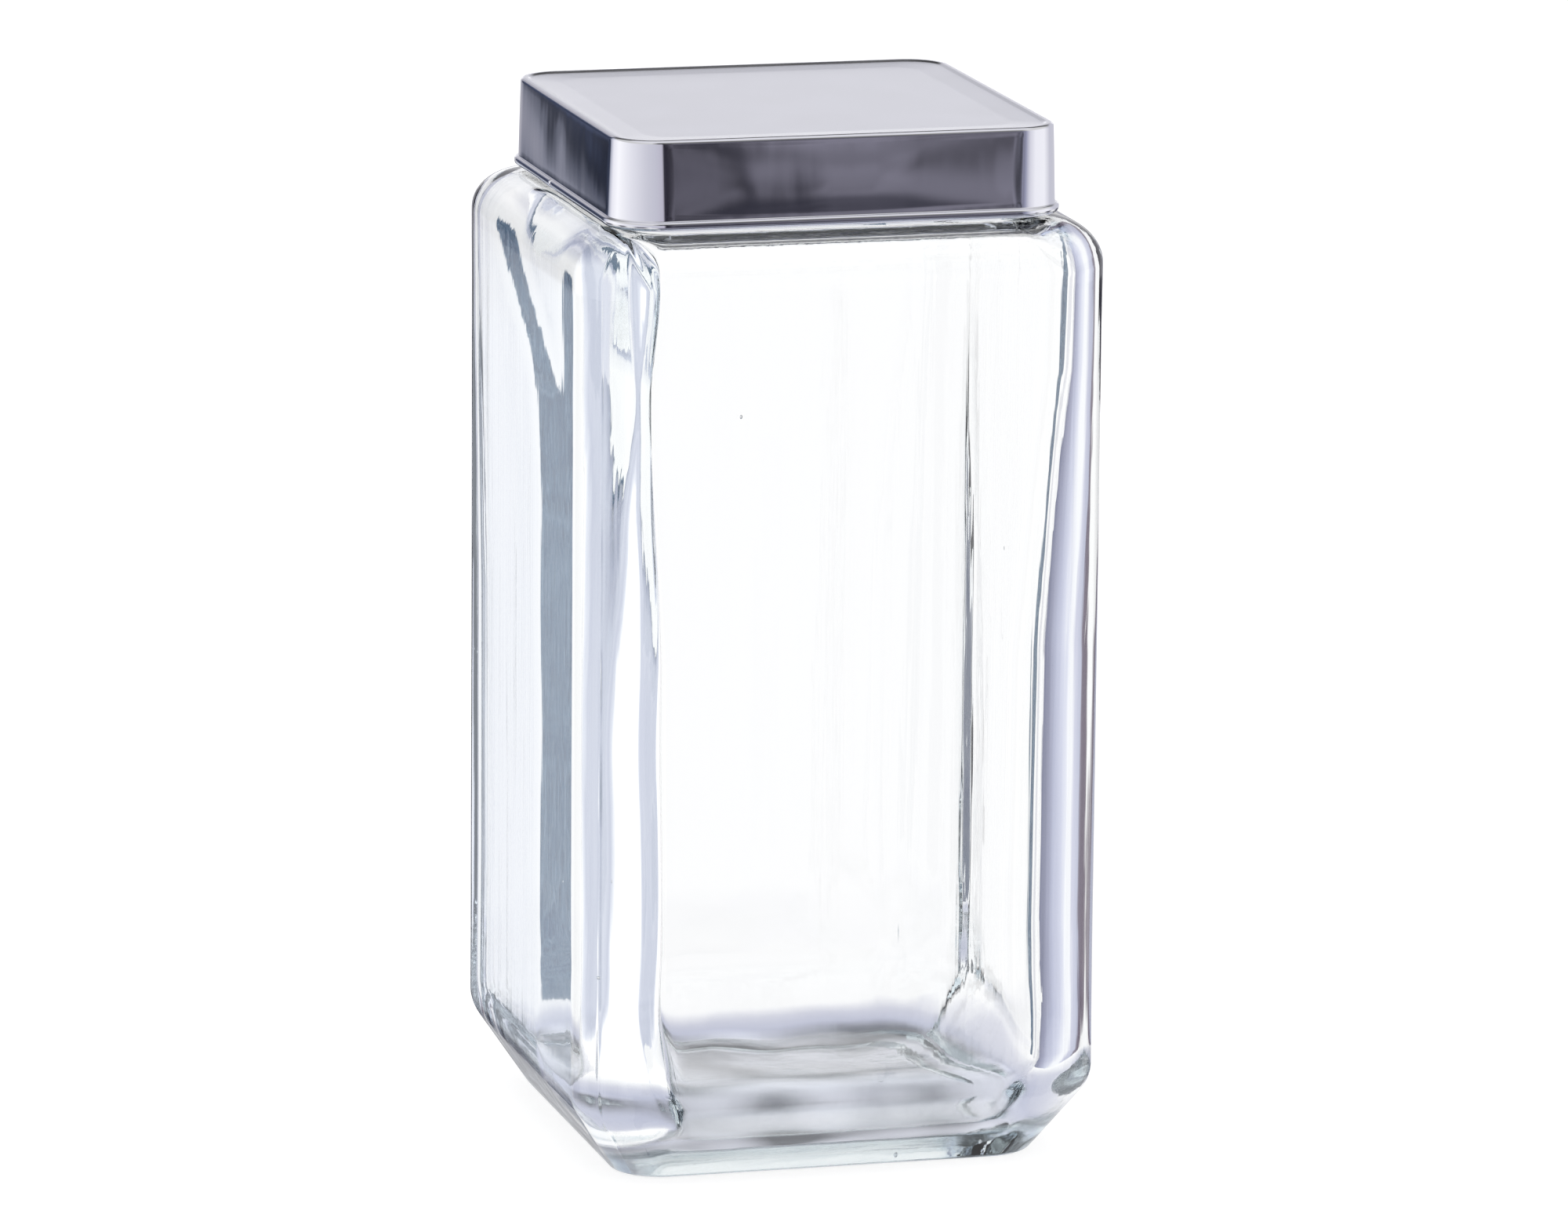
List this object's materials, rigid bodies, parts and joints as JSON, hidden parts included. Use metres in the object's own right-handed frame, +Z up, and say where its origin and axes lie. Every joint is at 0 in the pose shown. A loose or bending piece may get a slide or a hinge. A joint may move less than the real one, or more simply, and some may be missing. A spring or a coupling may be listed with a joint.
{
  "type": "lidded glass canister",
  "caption": "Tall square glass storage jar with rounded corners, tapered heel and a lift-off polished metal lid with liner and seal.",
  "frame": {"origin": "centre of the base, on the surface that the canister stands on", "axes": "+Z up through the lid, -Y towards the front face, +X to the right seen from the front"},
  "size_m": [0.112, 0.112, 0.218],
  "materials": {
    "clear_glass": "clear soda-lime glass, fire polished, faint blue-green in thick sections",
    "polished_metal": "mirror polished skirt, satin top panel",
    "liner_plastic": "moulded, slightly translucent",
    "seal_silicone": "translucent white silicone"
  },
  "bodies": {
    "jar": {"glass_jar": "clear_glass"},
    "lid": {"lid_shell": "polished_metal", "lid_liner": "liner_plastic", "lid_gasket": "seal_silicone"}
  },
  "joints": [
    {"name": "lid_lift", "type": "slide", "parent": "jar", "child": "lid", "axis": [0, 0, 1], "range_m": [0, 0.1]}
  ]
}
